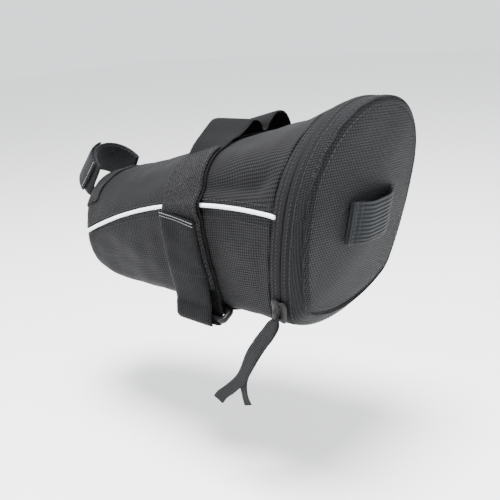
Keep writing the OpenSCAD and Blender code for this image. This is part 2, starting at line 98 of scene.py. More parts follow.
LOW_H0 = PIPE_REAR / np.cos(LEAN)
SIDE_A = np.arcsin(CORNER_START / SIDE_R)
CORNER_X = REAR_W - SIDE_R + (SIDE_R - CORNER_R) * np.cos(SIDE_A)
CORNER_Y = -(SIDE_R - CORNER_R) * np.sin(SIDE_A)
CORNER_M = CORNER_Y + LOW_H0
BOTTOM_R = (CORNER_X**2 + CORNER_M**2 - CORNER_R**2) / (2 * (CORNER_M - CORNER_R))
BOTTOM_A = np.arctan2(CORNER_X, BOTTOM_R - CORNER_M)
ARCS = np.cumsum([SIDE_R * SIDE_A, CORNER_R * (np.pi / 2 - BOTTOM_A - SIDE_A), BOTTOM_R * BOTTOM_A])
SIDE_S, CORNER_S = ARCS[:2] / ARCS[2]


def low_pt(s):
    a = SIDE_A * s / SIDE_S
    b = mix(SIDE_A, np.pi / 2 - BOTTOM_A, (s - SIDE_S) / (CORNER_S - SIDE_S))
    c = mix(np.pi / 2 - BOTTOM_A, np.pi / 2, (s - CORNER_S) / (1 - CORNER_S))
    x = [REAR_W - SIDE_R + SIDE_R * np.cos(a), CORNER_X + CORNER_R * np.cos(b), BOTTOM_R * np.cos(c)]
    y = [-SIDE_R * np.sin(a), CORNER_Y - CORNER_R * np.sin(b), BOTTOM_R - LOW_H0 - BOTTOM_R * np.sin(c)]
    pick = [s < SIDE_S, s < CORNER_S]
    return np.select(pick, x[:2], x[2]), np.select(pick, y[:2], y[2])


def frac(u):
    """Outline of a section, as shares of its half width and height. u is 0 at the left piping and 0.25 on top."""
    u = np.asarray(u, float) % 1
    a = 2 * np.pi * u
    g = np.maximum(0, np.sin(a)) ** (2 / CROWN)
    ux = -np.sign(np.cos(a)) * np.abs(np.cos(a)) ** (2 / CROWN) * (1 - PINCH * g * g)
    lx, ly = low_pt(1 - np.abs(4 * u - 3))
    upper = u <= 0.5
    return np.where(upper, ux, np.where(u < 0.75, 1, -1) * lx / REAR_W), np.where(upper, g, ly / LOW_H0)


def body_h(t, u):
    fy = frac(u)[1]
    return fy * np.where(fy > 0, up_h(t), low_h(t))


def body_pt(t, u):
    t, u = np.broadcast_arrays(np.asarray(t, float), np.asarray(u, float))
    h = body_h(t, u)
    return np.stack([-BAG_L * t + np.tan(LEAN) * h * (1 - t), half_w(t) * frac(u)[0], pipe_z(t) + h], -1)


def body_n(t, u):
    e = 0.003
    t = np.asarray(t, float)
    along = body_pt(t + e, u) - body_pt(np.maximum(0, t - e), u)
    return unit(np.cross(body_pt(t, u + e) - body_pt(t, u - e), along))


# Folds and hollows of the slack cloth: two ends, width and height in millimetres
FOLDS = [
    ((-50, -38, 67), (-20, -42, 71.5), 6.0, -2.0),
    ((-20, -42, 71.5), (-2, -42, 80), 5.0, -1.5),
    ((-46, -28, 81), (-15, -34, 84.5), 7.0, 1.1),
    ((-7, -39, 83), (-4, -45, 69), 3.5, 0.9),
    ((-41, -41, 58), (-50, -32, 12), 5.0, -1.1),
    ((-24, -44, 50), (-22, -43, 36), 13.0, 0.9),
    ((-37, -42, 60), (-24, -44, 52), 5.0, -0.7),
    ((-13, -45, 52), (-17, -42, 20), 4.0, -0.6),
    ((-112, -27, 60), (-90, -30, 66), 6.0, -0.9),
    ((-86, -36, 56), (-83, -33, 22), 6.0, -0.7),
    ((-120, -30, 38), (-96, -33, 30), 9.0, 0.8),
    ((-128, -16, 66), (-84, -14, 79), 8.0, -0.6),
    ((-30, -6, 96), (-8, -10, 101), 9.0, -0.8),
    ((-110, -18, 3), (-40, -22, 2), 9.0, 0.7),
]


def fold_height(p):
    """How far the cloth lies above or below the plain shell at p."""
    d = np.zeros(p.shape[:-1])
    for a, b, width, height in FOLDS:
        for side, share in ((1, 1.0), (-1, 0.8)):
            start = np.array([a[0], side * a[1], a[2]], float)
            along = np.array([b[0], side * b[1], b[2]], float) - start
            k = np.clip(((p - start) @ along) / (along @ along), 0, 1)
            gap = np.linalg.norm(p - start - k[..., None] * along, axis=-1)
            d += 1.7 * share * height * np.exp(-((gap / width) ** 2)) * (0.55 + 0.45 * np.sin(np.pi * k))
    x, y, z = p[..., 0], p[..., 1], p[..., 2]
    d += 0.32 * np.sin(x / 6.1 + 0.8 * np.sin(z / 9 + y / 17)) * np.sin(z / 7.3 + y / 11 + 1.3)
    d += 0.2 * np.sin(x / 3.3 + z / 4.7 + 2.0) * np.sin(z / 3.9 - x / 8.1)
    return d


def cloth_pt(t, u, off=0.0):
    """The slack shell with its seams pulled in, at a height off above the cloth."""
    p, n = body_pt(t, u), body_n(t, u)
    h = body_h(t, u)
    edge = smooth(0.045, 0.11, np.broadcast_to(t, h.shape)) * smooth(0.985, 0.93, np.broadcast_to(t, h.shape))
    d = fold_height(p) * edge * smooth(0.5, 9, np.abs(h))
    d -= 0.55 * np.exp(-((h / 2.6) ** 2)) * smooth(0.02, 0.05, np.broadcast_to(t, h.shape))
    return p + (off + d)[..., None] * n


def t_at(x, u):
    k = np.tan(LEAN) * body_h(-np.asarray(x, float) / BAG_L, u)
    return (k - x) / (BAG_L + k)


# ---------- zip plane and lid


def in_plane(d, y, h):
    """A place from its distance to the zip plane, its side and its height in that plane."""
    d, y, h = np.broadcast_arrays(np.asarray(d, float), y, h)
    c, s = np.cos(LEAN), np.sin(LEAN)
    return np.stack([d * c + h * s, y, PIPE_REAR + h * c - d * s], -1)


def opening(u):
    fx, fy = frac(u)
    return np.stack([REAR_W * fx, fy * np.where(fy > 0, up_h(0.0), low_h(0.0)) / np.cos(LEAN)], -1)


def opening_n(u):
    d = opening(u + 0.003) - opening(u - 0.003)
    return unit(np.stack([-d[..., 1], d[..., 0]], -1))


def rim_pt(u, d, r):
    """A place on the zip bands: on the shell in front of the zip plane, on the lid behind it."""
    u, d, r = np.broadcast_arrays(np.asarray(u, float), np.asarray(d, float), np.asarray(r, float))
    slope = PIPE_NOSE - PIPE_REAR + 4 * PIPE_ARCH
    t = -np.minimum(d, 0) / (BAG_L * np.cos(LEAN) + np.sin(LEAN) * (body_h(0.0, u) + slope))
    front = body_pt(t, u) + r[..., None] * body_n(t, u)
    p = opening(u) + r[..., None] * opening_n(u)
    k = (np.maximum(d, 0) / LID_DEPTH) ** 2
    back = in_plane(np.maximum(d, 0), p[..., 0] * mix(1, 0.983, k), p[..., 1] * mix(1, 0.916, k) + 5.5 * k)
    return np.where((d < 0)[..., None], front, back)


def panel_d(y, h):
    y, h = np.asarray(y, float), np.asarray(h, float)
    return LID_DEPTH + LID_BULGE * np.maximum(0, 1 - (y / REAR_W) ** 2) * np.maximum(0,
            1 - ((h + 2.5) / 50) ** 2)


def disc_pt(u, k, r, off):
    p = opening(u) + np.asarray(r, float)[..., None] * opening_n(u)
    y = k * p[..., 0] * 0.983
    h = -2.5 + k * (p[..., 1] * 0.916 + 5.5 + 2.5)
    wave = 0.35 * np.sin(y / 9 + 1.1 * np.sin(h / 13)) * np.sin(h / 10 + 0.6) * smooth(1.0, 0.8, k)
    return in_plane(panel_d(y, h) - off + wave, y, h)


# ---------- meshes


def add_mesh(name, points, faces, uv, material, close=True):
    mesh = bpy.data.meshes.new(name)
    mesh.from_pydata(((np.asarray(points) + SHIFT) / 1000).tolist(), [], faces)
    layer = mesh.uv_layers.new(name="UVMap")
    corner = np.empty(len(mesh.loops), int)
    mesh.loops.foreach_get("vertex_index", corner)
    layer.data.foreach_set("uv", np.asarray(uv, float)[corner].ravel())
    work = bmesh.new()
    work.from_mesh(mesh)
    if close:
        bmesh.ops.remove_doubles(work, verts=work.verts, dist=1e-6)
    bmesh.ops.recalc_face_normals(work, faces=work.faces)
    work.to_mesh(mesh)
    work.free()
    mesh.polygons.foreach_set("use_smooth", [True] * len(mesh.polygons))
    mesh.materials.append(material)
    piece = bpy.data.objects.new(name, mesh)
    bpy.context.scene.collection.objects.link(piece)
    return piece


def grid_faces(rows, cols, round_cols, start=0):
    last = cols if round_cols else cols - 1
    return [
        [start + i * cols + j, start + (i + 1) * cols + j, start + (i + 1) * cols + (j + 1) % cols,
         start + i * cols + (j + 1) % cols]
        for i in range(rows - 1)
        for j in range(last)
    ]


def lengths(points):
    """Distance along the middle of a grid's rows."""
    mid = points[:, points.shape[1] // 2]
    return np.concatenate([[0], np.cumsum(np.linalg.norm(np.diff(mid, axis=0), axis=-1))])


def solid(name, outer, inner, material, round_cols=False, uv=None):
    """A closed piece of cloth between an outer and an inner grid of points."""
    n, m = outer.shape[:2]
    if uv is None:
        widths = np.linalg.norm(np.diff(outer[n // 2], axis=0), axis=-1)
        across = np.concatenate([[0], np.cumsum(widths)])
        uv = np.stack(np.broadcast_arrays(lengths(outer)[:, None], across[None, :]), -1)
    faces = grid_faces(n, m, round_cols) + [f[::-1] for f in grid_faces(n, m, round_cols, n * m)]
    last = m if round_cols else m - 1
    for i in (0, n - 1):
        row = [[i * m + j, i * m + (j + 1) % m, n * m + i * m + (j + 1) % m,
               n * m + i * m + j] for j in range(last)]
        faces += row
    if not round_cols:
        for j in (0, m - 1):
            faces += [[i * m + j, (i + 1) * m + j, n * m + (i + 1) * m + j,
                      n * m + i * m + j] for i in range(n - 1)]
    points = np.concatenate([outer.reshape(-1, 3), inner.reshape(-1, 3)])
    return add_mesh(name, points, faces, np.tile(uv.reshape(-1, 2), (2, 1)), material)


def catmull(points, steps):
    """Smooth curve through stations along the first axis."""
    p = np.concatenate([2 * points[:1] - points[1:2], points, 2 * points[-1:] - points[-2:-1]])
    out = []
    for i in range(1, len(p) - 2):
        for k in np.arange(steps) / steps:
            a, b, c, d = p[i - 1], p[i], p[i + 1], p[i + 2]
            out.append(0.5 * (2 * b + (c - a) * k + (2 * a - 5 * b + 4 * c - d) * k**2 + (3 * b - a - 3 * c + d) * k**3))
    out.append(points[-1])
    return np.array(out)


def band_solid(name, mid, normal, thick, material):
    """Webbing or tape with rounded edges round a grid of middle points."""
    s = np.linspace(-1, 1, mid.shape[1])
    edge = (thick / 2 * np.maximum(0.18, np.sqrt(1 - np.abs(s) ** 10)))[None, :, None]
    return solid(name, mid + edge * normal, mid - edge * normal, material)


def tube(name, path, radius, material, closed=False, sides=10, flat=1.0, up=(0, 0, 1)):
    """A round or oval bar along a path."""
    path = np.asarray(path, float)
    if closed:
        tangent = unit(np.roll(path, -1, 0) - np.roll(path, 1, 0))
    else:
        tangent = unit(np.gradient(path, axis=0))
    side = unit(np.cross(tangent, np.broadcast_to(np.asarray(up, float), path.shape)))
    top = np.cross(side, tangent)
    a = np.linspace(0, 2 * np.pi, sides, endpoint=False)
    radius = np.broadcast_to(radius, len(path))[:, None, None]
    rings = path[:, None] + radius * (np.cos(a)[None, :, None] * side[:, None] + flat * np.sin(a)[None,
                                      :, None] * top[:, None])
    n = len(path)
    faces = grid_faces(n, sides, True)
    if closed:
        faces += [[(n - 1) * sides + j, j, (j + 1) % sides,
                  (n - 1) * sides + (j + 1) % sides] for j in range(sides)]
    else:
        faces += [list(range(sides)), list(range((n - 1) * sides, n * sides))[::-1]]
    run = np.concatenate([[0], np.cumsum(np.linalg.norm(np.diff(path, axis=0), axis=-1))])
    uv = np.stack(np.broadcast_arrays(run[:, None], (a * np.mean(radius))[None, :]), -1)
    return add_mesh(name, rings.reshape(-1, 3), faces, uv.reshape(-1, 2), material)


def along(path, normal, pitch):
    """Places at an even pitch along a path, with the direction and the normal there."""
    step = np.linalg.norm(np.diff(path, axis=0), axis=-1)
    run = np.concatenate([[0], np.cumsum(step)])
    where = np.arange(pitch / 2, run[-1], pitch)
    pick = lambda v: np.stack([np.interp(where, run, v[:, i]) for i in range(3)], -1)
    centre = pick(path)
    ahead = np.stack([np.interp(where + 0.1, run, path[:, i]) for i in range(3)], -1)
    behind = np.stack([np.interp(where - 0.1, run, path[:, i]) for i in range(3)], -1)
    return centre, unit(ahead - behind), unit(pick(normal))


def stitches(name, lines, material, pitch=2.6, length=2.0, radius=0.2, slant=0.0):
    """Rows of stitches, each a small rounded bar half sunk in the cloth."""
    ring = np.linspace(0, 2 * np.pi, 6, endpoint=False)
    share = np.array([-1, -0.7, 0, 0.7, 1]) / 2
    size = np.array([0.25, 0.85, 1, 0.85, 0.25])
    points, faces = [], []
    for path, normal in lines:
        centre, ahead, up = along(path, normal, pitch)
        side = np.cross(ahead, up)
        ahead = unit(ahead + slant * side)
        side = np.cross(ahead, up)
        for c, a, s, n in zip(centre, ahead, side, up):
            start = len(points)
            for k, w in zip(share, size):
                arch = c + a * length * k + n * radius * (0.75 - 2.2 * k * k)
                points += [arch + radius * w * (np.cos(q) * s + np.sin(q) * n) for q in ring]
            faces += [[start + f for f in face] for face in grid_faces(5, 6, True)]
            faces += [[start + j for j in range(6)], [start + 24 + j for j in range(5, -1, -1)]]
    return add_mesh(name, np.array(points), faces, np.zeros((len(points), 2)), material, close=False)


# ---------- materials


def socket(tree, value, target):
    if isinstance(value, bpy.types.NodeSocket):
        tree.links.new(value, target)
    else:
        target.default_value = value


def maths(tree, kind, a, b=0.0):
    node = tree.nodes.new("ShaderNodeMath")
    node.operation = kind
    socket(tree, a, node.inputs[0])
    socket(tree, b, node.inputs[1])
    return node.outputs[0]


def noise(tree, place, scale, detail=3.0):
    node = tree.nodes.new("ShaderNodeTexNoise")
    tree.links.new(place, node.inputs["Vector"])
    node.inputs["Scale"].default_value = scale
    node.inputs["Detail"].default_value = detail
    return node.outputs["Fac"]


def blend_colour(tree, factor, a, b):
    node = tree.nodes.new("ShaderNodeMix")
    node.data_type = "RGBA"
    socket(tree, factor, node.inputs[0])
    node.inputs[6].default_value = (*a, 1)
    node.inputs[7].default_value = (*b, 1)
    return node.outputs[2]


def fabric(name, colour, pitch=(0.9, 0.9), turn=0.0, depth=0.12, rough=0.8, sheen=0.25, weave=0.25,
           wear=0.12, pile=0.0):
    """Cloth whose threads cross at the given pitches, in millimetres, turned by an angle in degrees."""
    mat = bpy.data.materials.new(name)
    mat.use_nodes = True
    tree = mat.node_tree
    shader = tree.nodes["Principled BSDF"]
    place = tree.nodes.new("ShaderNodeUVMap").outputs["UV"]
    split = tree.nodes.new("ShaderNodeSeparateXYZ")
    tree.links.new(place, split.inputs[0])
    c, s = np.cos(np.radians(turn)), np.sin(np.radians(turn))
    u, v = split.outputs["X"], split.outputs["Y"]
    a = maths(tree, "ADD", maths(tree, "MULTIPLY", u, c), maths(tree, "MULTIPLY", v, s))
    b = maths(tree, "SUBTRACT", maths(tree, "MULTIPLY", v, c), maths(tree, "MULTIPLY", u, s))
    wave_a = maths(tree, "SINE", maths(tree, "MULTIPLY", a, 2 * np.pi / pitch[0]))
    wave_b = maths(tree, "SINE", maths(tree, "MULTIPLY", b, 2 * np.pi / pitch[1]))
    threads = maths(tree, "MULTIPLY", maths(tree, "MULTIPLY", wave_a, wave_b), 0.5)
    solid_place = tree.nodes.new("ShaderNodeTexCoord").outputs["Object"]
    fuzz = noise(tree, solid_place, 1000.0 if pile > 1 else 2600.0, 2.0)
    patch = noise(tree, solid_place, 38.0, 4.0)
    height = maths(tree, "ADD", threads, maths(tree, "MULTIPLY", fuzz, 0.35 + pile))
    bump = tree.nodes.new("ShaderNodeBump")
    bump.inputs["Distance"].default_value = depth / 1000
    bump.inputs["Strength"].default_value = 1.0
    tree.links.new(height, bump.inputs["Height"])
    tree.links.new(bump.outputs["Normal"], shader.inputs["Normal"])
    dark = [x * (1 - weave) for x in colour]
    light = [min(1, x * (1 + 4.5 * weave)) for x in colour]
    shade = maths(tree, "ADD", maths(tree, "MULTIPLY", threads, 1.5), maths(tree, "MULTIPLY", patch,
                  wear * 2))
    shade = maths(tree, "ADD", shade, maths(tree, "MULTIPLY", fuzz, 0.3 + pile * 0.5))
    shade = maths(tree, "ADD", shade, 0.25 - wear - pile * 0.25)
    tree.links.new(blend_colour(tree, shade, dark, light), shader.inputs["Base Color"])
    shader.inputs["Roughness"].default_value = rough
    shader.inputs["Sheen Weight"].default_value = sheen * 0.05
    shader.inputs["Sheen Roughness"].default_value = 0.4
    shader.inputs["Specular IOR Level"].default_value = 0.1
    return mat


def hard(name, colour, rough=0.4, metallic=0.0, scratch=0.15, coat=0.0):
    mat = bpy.data.materials.new(name)
    mat.use_nodes = True
    tree = mat.node_tree
    shader = tree.nodes["Principled BSDF"]
    place = tree.nodes.new("ShaderNodeTexCoord").outputs["Object"]
    fine, broad = noise(tree, place, 900.0, 4.0), noise(tree, place, 120.0, 3.0)
    shade = maths(tree, "ADD", maths(tree, "MULTIPLY", fine, 0.4), maths(tree, "MULTIPLY", broad, 0.6))
    dark = [x * (1 - scratch) for x in colour]
    light = [min(1, x * (1 + scratch)) for x in colour]
    tree.links.new(blend_colour(tree, shade, dark, light), shader.inputs["Base Color"])
    bump = tree.nodes.new("ShaderNodeBump")
    bump.inputs["Distance"].default_value = 0.00004
    bump.inputs["Strength"].default_value = 1.0
    tree.links.new(fine, bump.inputs["Height"])
    tree.links.new(bump.outputs["Normal"], shader.inputs["Normal"])
    shader.inputs["Roughness"].default_value = rough
    shader.inputs["Metallic"].default_value = metallic
    shader.inputs["Specular IOR Level"].default_value = 0.2
    shader.inputs["Coat Weight"].default_value = coat
    return mat


SHELL = fabric("shell_cloth", (0.0033, 0.0033, 0.0036), pitch=(1.7, 1.7), turn=40, depth=0.42,
               rough=0.62, sheen=0.3, weave=0.95, wear=0.1)
LID = fabric("lid_cloth", (0.0023, 0.0026, 0.0029), pitch=(1.7, 1.7), turn=40, depth=0.42, rough=0.62,
             sheen=0.3, weave=0.95, wear=0.1)
WEBBING = fabric("webbing", (0.0014, 0.0015, 0.0017), pitch=(3.4, 1.5), turn=32, depth=0.3, rough=0.7,
                 sheen=0.2, weave=0.4)
POST_WEB = fabric("post_webbing", (0.0055, 0.0058, 0.0064), pitch=(2.2, 1.6), depth=0.24, rough=0.6,
                  sheen=0.35, weave=0.35)
RIBBED = fabric("light_loop_webbing", (0.009, 0.0099, 0.0109), pitch=(90, 1.9), depth=0.4, rough=0.7,
                sheen=0.3, weave=0.45)
PILE = fabric("loop_tape", (0.0058, 0.0058, 0.0061), pitch=(1.4, 1.4), depth=0.9, rough=0.95, sheen=0.6,
              weave=0.8, pile=2.2)
TAPE = fabric("zip_tape", (0.0055, 0.0055, 0.006), pitch=(1.0, 0.8), depth=0.2, rough=0.8, weave=0.35)
BINDING = fabric("binding_tape", (0.006, 0.006, 0.0065), pitch=(1.2, 1.2), depth=0.18, rough=0.8)
LINING = fabric("lining_cloth", (0.04, 0.04, 0.043), pitch=(0.6, 0.6), depth=0.06, rough=0.7, sheen=0.2)
FOAM = fabric("foam", (0.28, 0.28, 0.29), pitch=(2.0, 2.0), depth=0.1, rough=0.95, sheen=0.0, pile=0.8)
SILVER = fabric("reflective_piping", (0.78, 0.8, 0.82), pitch=(1.3, 1.3), turn=45, depth=0.07,
                rough=0.42, weave=0.05, wear=0.06)
LACE = fabric("pull_lace", (0.0095, 0.0097, 0.0104), pitch=(1.15, 1.15), turn=45, depth=0.4, rough=0.85,
              weave=0.55)
THREAD = fabric("thread", (0.019, 0.019, 0.02), depth=0.05, rough=0.6, sheen=0.5)
PALE_THREAD = fabric("pale_thread", (0.13, 0.13, 0.135), depth=0.05, rough=0.6, sheen=0.5)
PLASTIC = hard("ring_plastic", (0.009, 0.009, 0.0098), rough=0.36)
COIL = hard("zip_coil", (0.012, 0.012, 0.013), rough=0.35)
METAL = hard("slider_metal", (0.004, 0.004, 0.0045), rough=0.5, coat=0.02, scratch=0.3)

def finish_piece(piece, body, slot, *nodes):
    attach(piece, body)
    if nodes:
        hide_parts(*nodes)
    return piece


# ---------- shell

FINE = 1.0
ROWS, COLS = int(130 * FINE), int(150 * FINE)


def shell_rows(count):
    i = np.arange(count + 1)
    t = 1 - (1 - SHELL_T0) * (1 - np.sin(np.pi / 2 * i / count))
    t[-1] = 1
    return t


def shell_grid(u0, u1, cols, off):
    t = np.minimum(shell_rows(ROWS), 0.99985)
    u = np.linspace(u0, u1, cols + 1)
    grid = cloth_pt(t[:, None], u[None, :], off)
    grid[-1] = np.array([-BAG_L - off, 0, PIPE_NOSE])
    return grid


def shell_uv(grid):
    row = grid[ROWS // 4]
    across = np.concatenate([[0], np.cumsum(np.linalg.norm(np.diff(row, axis=0), axis=-1))])
    return np.stack(np.broadcast_arrays(lengths(grid)[:, None], across[None, :]), -1)


def panel(name, u0, u1):
    outer, inner = shell_grid(u0, u1, COLS, 0.0), shell_grid(u0, u1, COLS, -1.2)
    piece = solid(name + "_cloth", outer, inner, SHELL, uv=shell_uv(outer))
    return finish_piece(piece, "bag", "shell_cloth", name)


def layer(name, off, thick, material, slot):
    cols = int(90 * FINE)
    outer = shell_grid(0, 1, cols, -off)[:, :-1]
    inner = shell_grid(0, 1, cols, -off - thick)[:, :-1]
    return finish_piece(solid(name + "_soft", outer, inner, material, round_cols=True), "bag", slot, name)


panel("upper_panel", 0, 0.5)
panel("lower_panel", 0.5, 1)
layer("body_foam", 1.3, 2.2, FOAM, "foam")
layer("body_lining", 3.6, 0.5, LINING, "lining_cloth")

# Piping: a round silver cord in the seam, and the rows of stitches beside it
side_t = np.linspace(0.027, 0.9995, 150)
seam = {u: cloth_pt(side_t, np.full(150, u), 0.75) for u in (0.0, 0.5)}
tip = np.array([[-BAG_L - 0.6, 0, PIPE_NOSE]])
path = np.concatenate([seam[0.0], tip, seam[0.5][::-1]])
keep = np.concatenate([[True], np.linalg.norm(np.diff(path, axis=0), axis=-1) > 0.15])
finish_piece(tube("piping_cord", path[keep], 0.95, SILVER, sides=14), "bag", "reflective_piping", "piping")


def seam_line(u, off=0.0, start=0.045, stop=0.985):
    t = np.linspace(start, stop, 160)
    return cloth_pt(t, np.full(160, u), off), body_n(t, np.full(160, u))


finish_piece(stitches("piping_stitches", [seam_line(u) for u in (0.012, 0.488, 0.985, 0.515)], THREAD),
             "bag", "shell_cloth")

# ---------- zip

around = np.linspace(0, 1, int(360 * FINE), endpoint=False)


def hoop(name, profile, thick, material, body, slot, nodes, q=(0, 1), closed=True):
    """A band round the opening whose cross-section is a list of (distance, height) pairs."""
    profile = np.array(profile, float)
    u = around if closed else np.linspace(q[0], q[1], int(330 * FINE))
    outer = np.stack([rim_pt(u, d, r) for d, r in profile])
    inner = np.stack([rim_pt(u, d, r - thick) for d, r in profile])
    step = np.linalg.norm(np.diff(outer[0], axis=0), axis=-1)
    run = np.concatenate([[0], np.cumsum(step)])
    side = profile[:, 0]
    uv = np.stack(np.broadcast_arrays(run[None, :], side[:, None]), -1)
    return finish_piece(solid(name, outer, inner, material, round_cols=closed, uv=uv), body, slot, *nodes)


zip_ends = (-ZIP_Q, 0.5 + ZIP_Q)
tape_body = [(-7.6, -1.35), (-6.6, -0.75), (-5.8, -0.3), (-4.6, -0.12), (-3.4, -0.2), (-2, -0.12), (-1,
             -0.1), (-0.45, -0.28), (-0.15, -0.8)]
tape_lid = [(0.15, -0.8), (0.45, -0.28), (1, -0.1), (2, -0.12), (3.4, -0.2), (4.4, -0.3), (5.2, -0.9)]
hoop("zip_tape_front", tape_body, 0.5, TAPE, "bag", "zip_tape", ["zip_tape_body"], zip_ends, closed=False)
hoop("zip_tape_rear", tape_lid, 0.5, TAPE, "lid", "zip_tape", ["zip_tape_lid"], zip_ends, closed=False)
low_ends = (0.5 + ZIP_Q, 1 - ZIP_Q)
hinge_front = [(-7.6, -1.35), (-5.8, -0.3), (-3, -0.15), (-0.15, -0.3)]
hinge_rear = [(0.15, -0.3), (3, -0.15), (5.2, -0.9)]
hoop("hinge_cloth_front", hinge_front, 0.6, TAPE, "bag", "zip_tape", ["hinge_strip_body"], low_ends,
     closed=False)
hoop("hinge_cloth_rear", hinge_rear, 0.6, TAPE, "lid", "zip_tape", ["hinge_strip_lid"], low_ends,
     closed=False)


def rim_line(d, r=0.0, q=zip_ends, count=400):
    u = np.linspace(q[0], q[1], count)
    p = rim_pt(u, d, r)
    return p, unit(rim_pt(u, d, r + 1.0) - p)


front_rows = [rim_line(-4.3, -0.12), rim_line(-2.5, -0.15)]
finish_piece(stitches("zip_stitches_front", front_rows, THREAD, 1.9, 1.7, 0.22, 0.45), "bag", "zip_tape")
finish_piece(stitches("zip_stitches_rear", [rim_line(2.5, -0.15)], THREAD, 1.9, 1.7, 0.22, 0.45), "lid",
             "zip_tape")


def coil(name, d, body, node):
    count = int(3600 * FINE)
    u = np.linspace(zip_ends[0], zip_ends[1], count)
    a = np.linspace(0, 2 * np.pi * 190, count)
    path = rim_pt(u, d + 0.62 * np.cos(a), -1.6 + 0.55 * np.sin(a))
    return finish_piece(tube(name, path, 0.24, COIL, sides=5, up=(0.3, 0.1, 0.9)), body, "zip_coil", node)


coil("zip_teeth_front", -0.72, "bag", "zip_coil_body")
coil("zip_teeth_rear", 0.72, "lid", "zip_coil_lid")
for name, mat in {"body_binding": BINDING, "lid_binding": BINDING, "zip_end_stops": METAL}.items():
    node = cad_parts[name]
    node.data.materials.clear()
    node.data.materials.append(mat)

# ---------- lid

gusset = [(4.2, -0.75), (4.35, -0.2), (4.7, 0.12), (5.6, 0.3), (7, 0.42), (8.4, 0.36), (9.6, 0.12),
          (10.3, -0.25), (10.6, -0.8)]
hoop("lid_gusset_cloth", gusset, 0.9, LID, "lid", "lid_cloth", ["lid_gusset"])
ks = np.concatenate([[1.0, 0.992, 0.98, 0.96, 0.93, 0.9], np.linspace(0.86, 0.02, int(34 * FINE))])


def disc(name, r, off, thick, material, slot, nodes, rounding=0.0):
    u = around
    roll = [rounding * max(0, (k - 0.93) / 0.07) ** 2 for k in ks]
    top = np.stack([disc_pt(u, k, np.full(len(u), r), off + e) for k, e in zip(ks, roll)])
    low = np.stack([disc_pt(u, k, np.full(len(u), r), off + e + thick) for k, e in zip(ks, roll)])
    for grid in (top, low):
        grid[-1] = grid[-1].mean(axis=0)
    flat = np.stack([disc_pt(u, k, np.full(len(u), r), 0.0) for k in ks])
    uv = np.stack([flat[..., 1], flat[..., 2]], -1)
    piece = solid(name, top, low, material, round_cols=True, uv=uv)
    return finish_piece(piece, "lid", slot, *nodes)


rear = disc("lid_panel_cloth", 0.0, -0.1, 1.2, LID, "lid_cloth", ["lid_panel"], 1.5)
disc("lid_foam_soft", -5.6, 1.4, 2.1, FOAM, "foam", ["lid_foam"])
disc("lid_lining_soft", -5.6, 3.7, 0.4, LINING, "lining_cloth", ["lid_lining"])
edge_line = disc_pt(around, np.full(len(around), 0.945), np.zeros(len(around)), 0.0)
edge_line = np.concatenate([edge_line, edge_line[:1]])
back = np.broadcast_to(np.array([np.cos(LEAN), 0, -np.sin(LEAN)]), edge_line.shape)
finish_piece(stitches("lid_panel_stitches", [(edge_line, back)], THREAD), "lid", "lid_cloth")
seam_u = np.linspace(0, 1, 500)
bead = rim_pt(seam_u[:-1], 10.55, -0.15)
finish_piece(tube("lid_edge_cord", bead, 0.55, LID, closed=True, sides=8), "lid", "lid_cloth")
gusset_rows = [rim_line(5.1, 0.22, (0, 1), 500)]
finish_piece(stitches("gusset_stitches", gusset_rows, THREAD), "lid", "lid_cloth")


def loop_surface(y, off):
    h = np.linspace(-15, 5, 15)
    k = np.minimum(1, np.abs(y) / 15.5)
    rise = 0.55 + 5.0 * (1 - k**3.4) + 0.25 * np.sin(y / 3.1) * (1 - k)
    return in_plane(panel_d(y, h) + rise + off, y, h + 0.25 * np.sin(y / 6.0))


ys = np.linspace(-19, 19, 60)
loop_mid = np.stack([loop_surface(y, 0.6) for y in ys])
loop_n = np.broadcast_to(np.array([np.cos(LEAN), 0, -np.sin(LEAN)]), loop_mid.shape)
finish_piece(band_solid("light_loop_web", loop_mid, loop_n, 1.2, RIBBED), "lid", "light_loop_webbing",
             "light_loop")
hem = loop_mid[:9] + 1.15 * loop_n[:9]
finish_piece(band_solid("light_loop_hem", hem, loop_n[:9], 1.0, RIBBED), "lid", "light_loop_webbing")
rows = []
for y, off in ((-17.4, 2.35), (-14.6, 2.35), (17.6, 1.2), (15.6, 1.2)):
    line = loop_surface(y, off)
    rows.append((line, np.broadcast_to(loop_n[0, 0], line.shape)))
finish_piece(stitches("light_loop_stitches", rows, THREAD, 1.9, 1.5, 0.22), "lid", "light_loop_webbing")

# ---------- rail strap

STRAP_X = np.array([RAIL_X - 13, RAIL_X + 13])
TAPER = np.radians(6.98)
RING = np.array([-63.0, -34.2, 3.0])
ACROSS = 17


def step_over(u):
    near = np.abs((u + 0.25) % 1 - 0.25) * 400 / 8
    far = np.abs(u % 1 - 0.5) * 400 / 8
    k = np.minimum(1, np.minimum(near, far))
    return 2.0 * (1 - k * k) ** 2


def worn(u, x, off, side=1, slant=0.0):
    """A station of webbing that lies on the shell: its points and their normals."""
    xs = np.linspace(x[0], x[1], ACROSS)
    us = u - slant * (xs - RAIL_X) / 13
    t = t_at(xs, us)
    p = cloth_pt(t, us, off + step_over(u))
    n = body_n(t, us)
    flip = np.array([1, side, 1])
    return p * flip, n * flip


def aired(y, z, tilt, x, off, skew=0.0, side=1, rise=0.0):
    xs = np.linspace(x[0], x[1], ACROSS)
    a = np.radians(tilt)
    n = np.array([0, -np.sin(a), np.cos(a)])
    p = np.stack([xs, y - skew * (xs - RING[0]), z + rise * (xs - RING[0])], -1) + off * n
    flip = np.array([1, side, 1])
    return p * flip, np.broadcast_to(n * flip, p.shape)


def turn_under(x, side=1):
    r = 3.0
    skew = np.tan(TAPER)
    out = []
    for a in (-62, -40, -18, 5, 28, 50, 72, 90):
        q = np.radians(a)
        out.append(aired(RING[1] + r * np.sin(q), RING[2] - r * np.cos(q), a, x, 0.6, skew, side))
    out.append(aired(-31.7, 8.6, 90, x, 0.6, skew, side))
    return out


